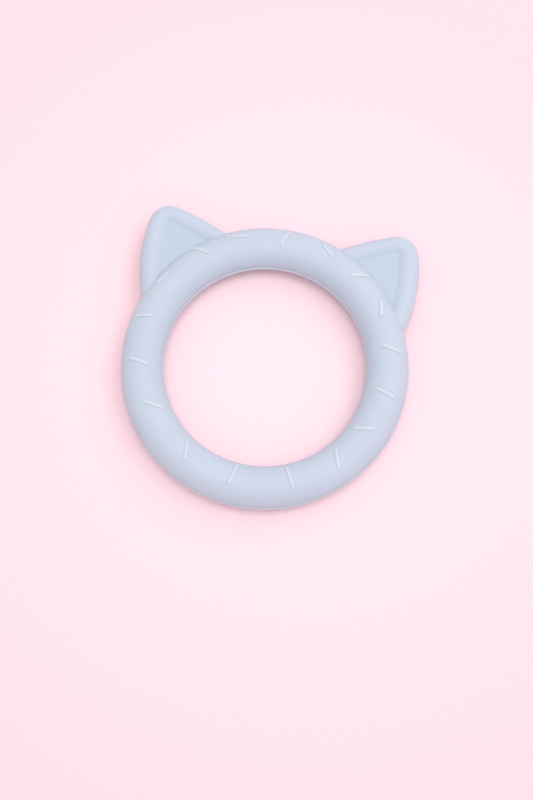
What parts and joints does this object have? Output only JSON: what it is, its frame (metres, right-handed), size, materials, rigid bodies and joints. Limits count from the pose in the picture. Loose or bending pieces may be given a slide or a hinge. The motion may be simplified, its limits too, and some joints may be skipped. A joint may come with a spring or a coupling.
{
  "type": "teething ring",
  "caption": "Cat-head teething ring: a round silicone tube ring with two flat rimmed ears and short raised dashes round both faces.",
  "frame": {"origin": "centre of the ring, on the parting plane halfway through its thickness", "axes": "+Z out of the front face along the ring's axis, +Y from the ring's centre towards the ears, +X to the right seen from the front"},
  "size_m": [0.0854, 0.0879, 0.0118],
  "materials": {
    "blue_silicone": "matt, soft-touch silicone",
    "ear_silicone": "matt, soft-touch silicone",
    "pale_silicone": "matt silicone, a shade paler"
  },
  "bodies": {
    "root": {"ring_front_half": "blue_silicone", "ring_back_half": "blue_silicone", "ear_left": "ear_silicone", "ear_right": "ear_silicone", "dash_front_01": "pale_silicone", "dash_front_02": "pale_silicone", "dash_front_03": "pale_silicone", "dash_front_04": "pale_silicone", "dash_front_05": "pale_silicone", "dash_front_06": "pale_silicone", "dash_front_07": "pale_silicone", "dash_front_08": "pale_silicone", "dash_front_09": "pale_silicone", "dash_front_10": "pale_silicone", "dash_front_11": "pale_silicone", "dash_front_12": "pale_silicone", "dash_front_13": "pale_silicone", "dash_front_14": "pale_silicone", "dash_front_15": "pale_silicone", "dash_front_16": "pale_silicone", "dash_front_17": "pale_silicone", "dash_back_01": "pale_silicone", "dash_back_02": "pale_silicone", "dash_back_03": "pale_silicone", "dash_back_04": "pale_silicone", "dash_back_05": "pale_silicone", "dash_back_06": "pale_silicone", "dash_back_07": "pale_silicone", "dash_back_08": "pale_silicone", "dash_back_09": "pale_silicone", "dash_back_10": "pale_silicone", "dash_back_11": "pale_silicone", "dash_back_12": "pale_silicone", "dash_back_13": "pale_silicone", "dash_back_14": "pale_silicone", "dash_back_15": "pale_silicone", "dash_back_16": "pale_silicone", "dash_back_17": "pale_silicone"}
  },
  "joints": []
}
